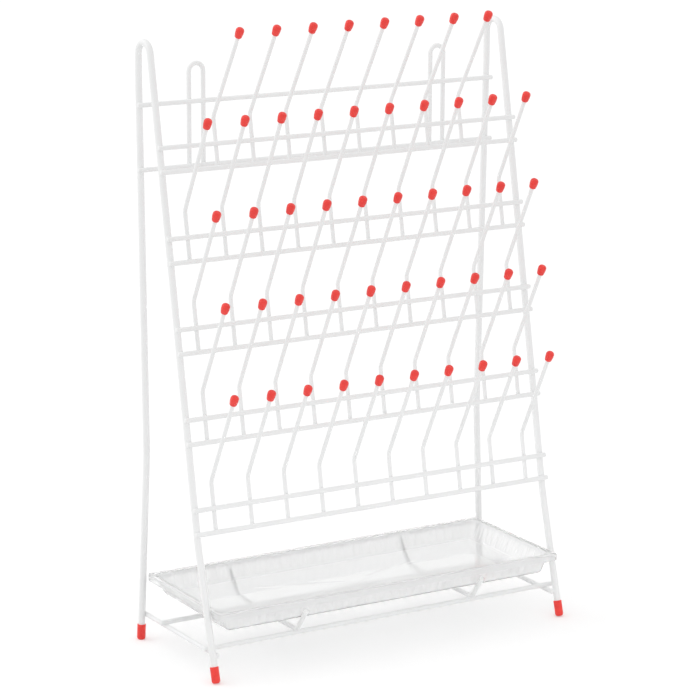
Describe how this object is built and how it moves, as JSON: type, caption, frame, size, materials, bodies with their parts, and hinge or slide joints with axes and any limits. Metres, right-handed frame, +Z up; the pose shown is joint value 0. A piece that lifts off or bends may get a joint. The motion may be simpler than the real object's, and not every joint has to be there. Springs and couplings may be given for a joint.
{
  "type": "drying pegboard rack",
  "caption": "Free-standing coated wire rack with rows of forward-leaning capped pegs for drying glassware, hanging loops and a clear drip tray in wire cradles.",
  "frame": {"origin": "middle of the footprint, on the surface that the rack stands on", "axes": "+X along the rails to the right as seen from the front, +Y towards the rear legs, +Z up"},
  "size_m": [0.4144, 0.1604, 0.6185],
  "materials": {
    "white_coated_wire": "smooth gloss white coating on steel wire",
    "red_vinyl": "soft satin red vinyl",
    "clear_plastic": "clear moulded plastic, glossy"
  },
  "bodies": {
    "root": {"side_frame_left": "white_coated_wire", "side_frame_right": "white_coated_wire", "side_tie_left": "white_coated_wire", "side_tie_right": "white_coated_wire", "base_bar_front": "white_coated_wire", "base_bar_rear": "white_coated_wire", "tray_cradle_left": "white_coated_wire", "tray_cradle_right": "white_coated_wire", "rear_rail_upper": "white_coated_wire", "rear_rail_lower": "white_coated_wire", "hang_loop_left": "white_coated_wire", "hang_loop_right": "white_coated_wire", "row_1_rail_upper": "white_coated_wire", "row_1_rail_lower": "white_coated_wire", "row_2_rail_upper": "white_coated_wire", "row_2_rail_lower": "white_coated_wire", "row_3_rail_upper": "white_coated_wire", "row_3_rail_lower": "white_coated_wire", "row_4_rail_upper": "white_coated_wire", "row_4_rail_lower": "white_coated_wire", "row_5_rail_upper": "white_coated_wire", "row_5_rail_lower": "white_coated_wire", "row_1_pegs": "white_coated_wire", "row_2_pegs": "white_coated_wire", "row_3_pegs": "white_coated_wire", "row_4_pegs": "white_coated_wire", "row_5_pegs": "white_coated_wire", "row_1_peg_caps": "red_vinyl", "row_2_peg_caps": "red_vinyl", "row_3_peg_caps": "red_vinyl", "row_4_peg_caps": "red_vinyl", "row_5_peg_caps": "red_vinyl", "foot_cap_front_left": "red_vinyl", "foot_cap_front_right": "red_vinyl", "foot_cap_rear_left": "red_vinyl", "foot_cap_rear_right": "red_vinyl", "drip_tray": "clear_plastic"}
  },
  "joints": []
}
